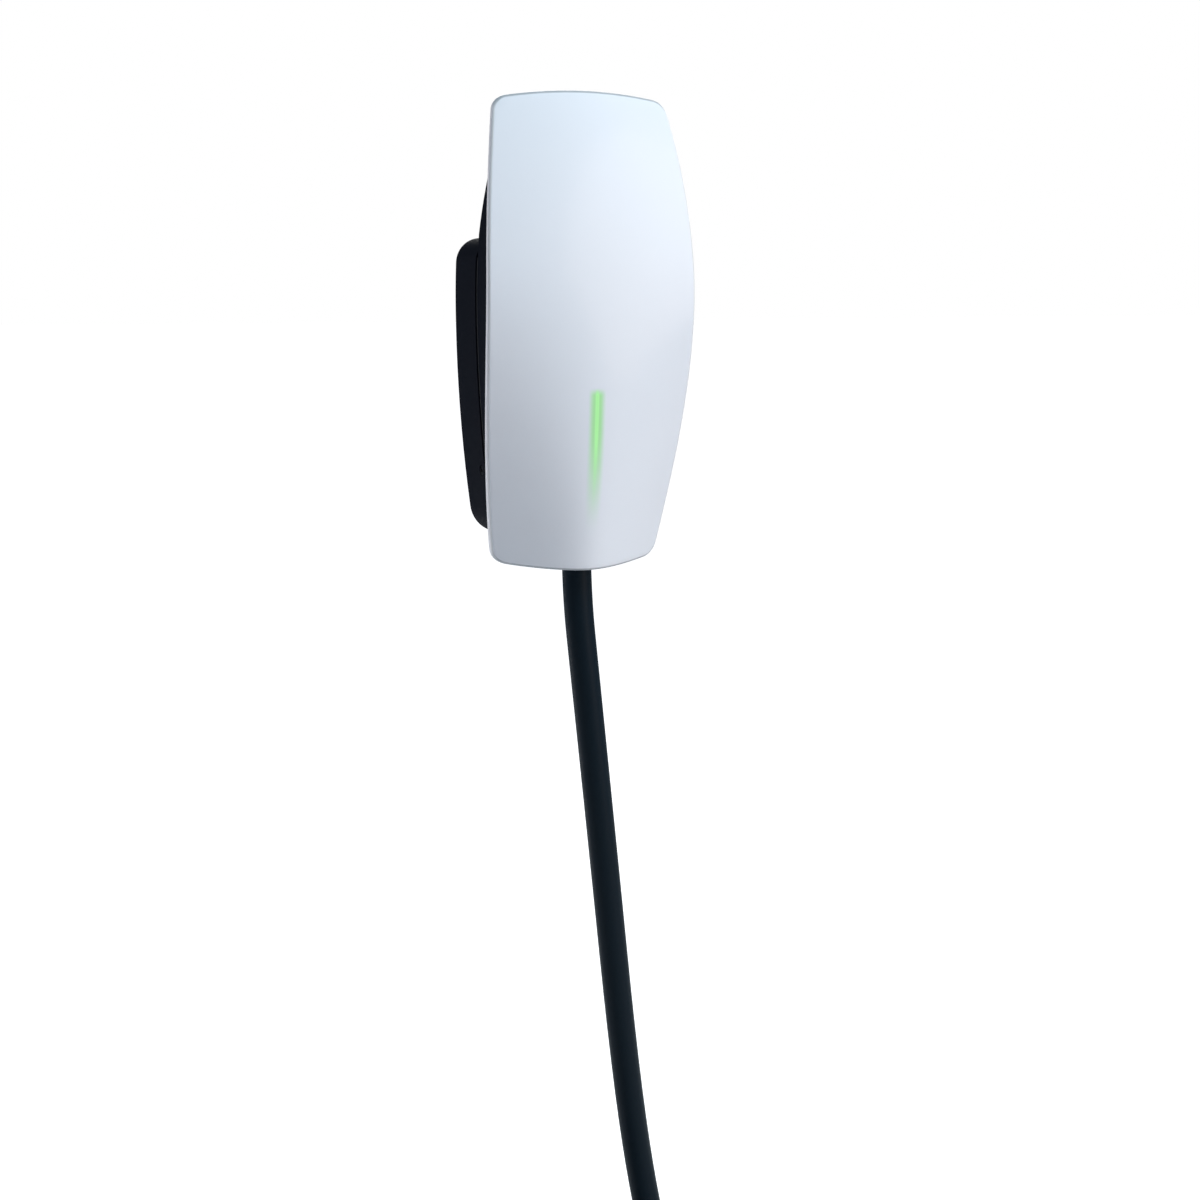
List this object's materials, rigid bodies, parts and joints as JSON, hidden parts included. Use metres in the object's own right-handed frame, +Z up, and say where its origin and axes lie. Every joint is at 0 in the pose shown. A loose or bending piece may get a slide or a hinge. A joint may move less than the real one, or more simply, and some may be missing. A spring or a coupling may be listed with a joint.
{
  "type": "ev wallbox",
  "caption": "Wall charger for cars with a curved white glass face, a vertical light bar, a black rear housing, and a fixed charging cable with a handle and a plug-in connector.",
  "frame": {"origin": "on the wall, at the middle of the wiring box's rear face", "axes": "+Z up, -Y out of the wall towards the person in front, +X to the right as seen from the front"},
  "size_m": [0.507, 0.3665, 1.0285],
  "materials": {
    "white_glass": "gloss",
    "white_plastic": "satin",
    "black_housing": "fine grain",
    "plug_plastic": "satin",
    "seal_rubber": "matte",
    "steel_screws": "satin",
    "terminal_plastic": "satin",
    "terminal_metal": "plated",
    "blade_plastic": "satin",
    "blade_copper": "plated",
    "board_green": "satin",
    "strip_white": "satin",
    "relay_black": "satin",
    "winding_yellow": "satin",
    "can_metal": "brushed",
    "core_brown": "satin",
    "core_green": "satin",
    "core_white": "satin",
    "cable_black": "satin",
    "boot_rubber": "matte",
    "guide_clear": "polished",
    "led_green": "lit",
    "handle_black": "fine grain",
    "button_grey": "satin",
    "nose_black": "satin",
    "contact_silver": "plated"
  },
  "bodies": {
    "unit": {"faceplate_glass": "white_glass", "faceplate_frame": "white_plastic", "wirebox": "black_housing", "main_housing": "black_housing", "front_cover": "black_housing", "cable_clamp": "black_housing", "entry_plugs": "plug_plastic", "gland_body": "plug_plastic", "gland_nut": "plug_plastic", "wirebox_seal": "seal_rubber", "housing_seal": "seal_rubber", "cable_seal": "seal_rubber", "locking_screws": "steel_screws", "terminal_block_screws": "steel_screws", "terminal_screws": "steel_screws", "board_screws": "steel_screws", "clamp_screws": "steel_screws", "cover_screws": "steel_screws", "handle_screws": "steel_screws", "button_spring": "steel_screws", "terminal_block": "terminal_plastic", "terminal_clamps": "terminal_metal", "core_terminals": "terminal_metal", "blade_block": "blade_plastic", "power_blades": "blade_copper", "main_board": "board_green", "switch_board": "board_green", "led_strip": "strip_white", "relay_left": "relay_black", "relay_right": "relay_black", "button_switch": "relay_black", "control_chip": "relay_black", "current_ring": "relay_black", "power_transformer": "winding_yellow", "filter_capacitors": "can_metal", "radio_module": "can_metal", "power_cores": "core_brown", "handle_cores": "core_brown", "ground_wire": "core_green", "signal_wire": "core_white", "cable_entry": "cable_black", "cable_hanging": "cable_black", "cable_coil": "cable_black", "cable_tail": "cable_black", "gland_boot": "boot_rubber", "handle_boot": "boot_rubber", "light_guide": "guide_clear", "leds": "led_green", "handle_shell_upper": "handle_black", "handle_shell_lower": "handle_black", "connector_nose": "nose_black", "power_sockets": "contact_silver", "ground_socket": "contact_silver", "signal_sockets": "contact_silver"},
    "button": {"handle_button": "button_grey"}
  },
  "joints": [
    {"name": "button_press", "type": "slide", "parent": "unit", "child": "button", "axis": [0, 0, -1], "range_m": [0, 0.0015], "stiffness_N_per_m": 900, "springref_m": -0.001, "deforming": ["button_spring"]}
  ]
}
